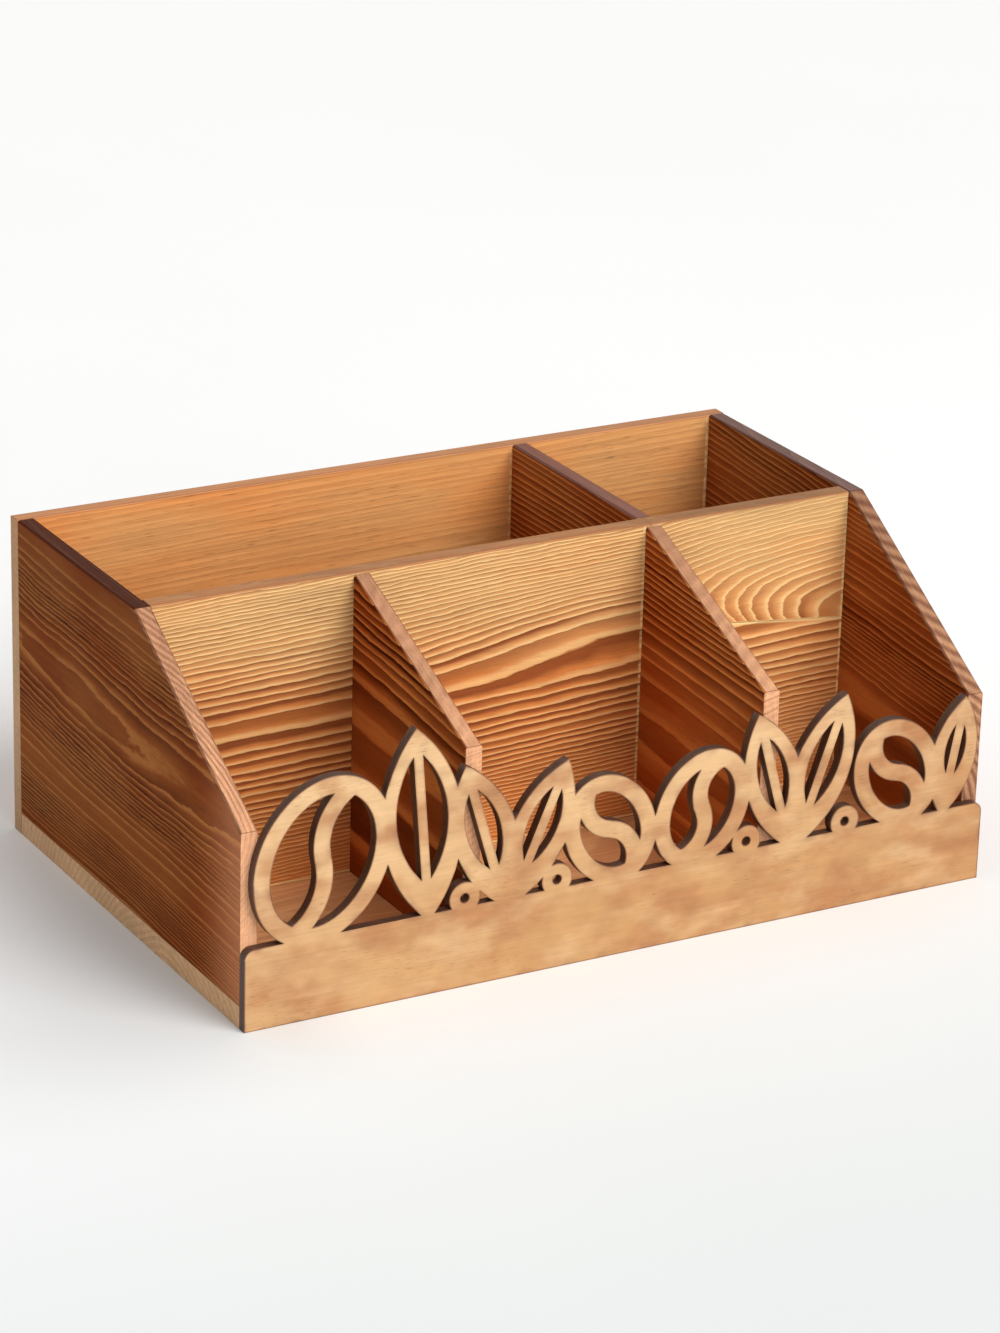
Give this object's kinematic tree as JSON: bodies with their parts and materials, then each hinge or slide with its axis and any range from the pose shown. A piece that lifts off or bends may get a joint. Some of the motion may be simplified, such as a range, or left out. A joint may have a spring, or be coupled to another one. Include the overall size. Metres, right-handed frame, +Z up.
{
  "type": "coffee station organizer",
  "caption": "Open-topped wooden countertop caddy with a row of sloped front bays, deeper rear bays for cups and a laser-cut front board of coffee beans and leaves.",
  "frame": {"origin": "middle of the footprint, on the face that it stands on", "axes": "+X to the right as seen from the front, -Y towards the front board, +Z up"},
  "size_m": [0.32, 0.208, 0.132],
  "materials": {
    "base_board": "stained satin",
    "honey_pine": "stained satin",
    "dark_pine": "torched and stained satin",
    "light_ply": "sanded plywood with charred laser-cut edges",
    "brad_steel": "bright"
  },
  "bodies": {
    "root": {"base_board": "base_board", "back_panel": "honey_pine", "left_side": "dark_pine", "right_side": "dark_pine", "middle_wall": "honey_pine", "rear_divider": "dark_pine", "front_divider_left": "dark_pine", "front_divider_right": "dark_pine", "front_fascia": "light_ply", "base_brads": "brad_steel", "back_brads": "brad_steel", "wall_brads": "brad_steel"}
  },
  "joints": []
}
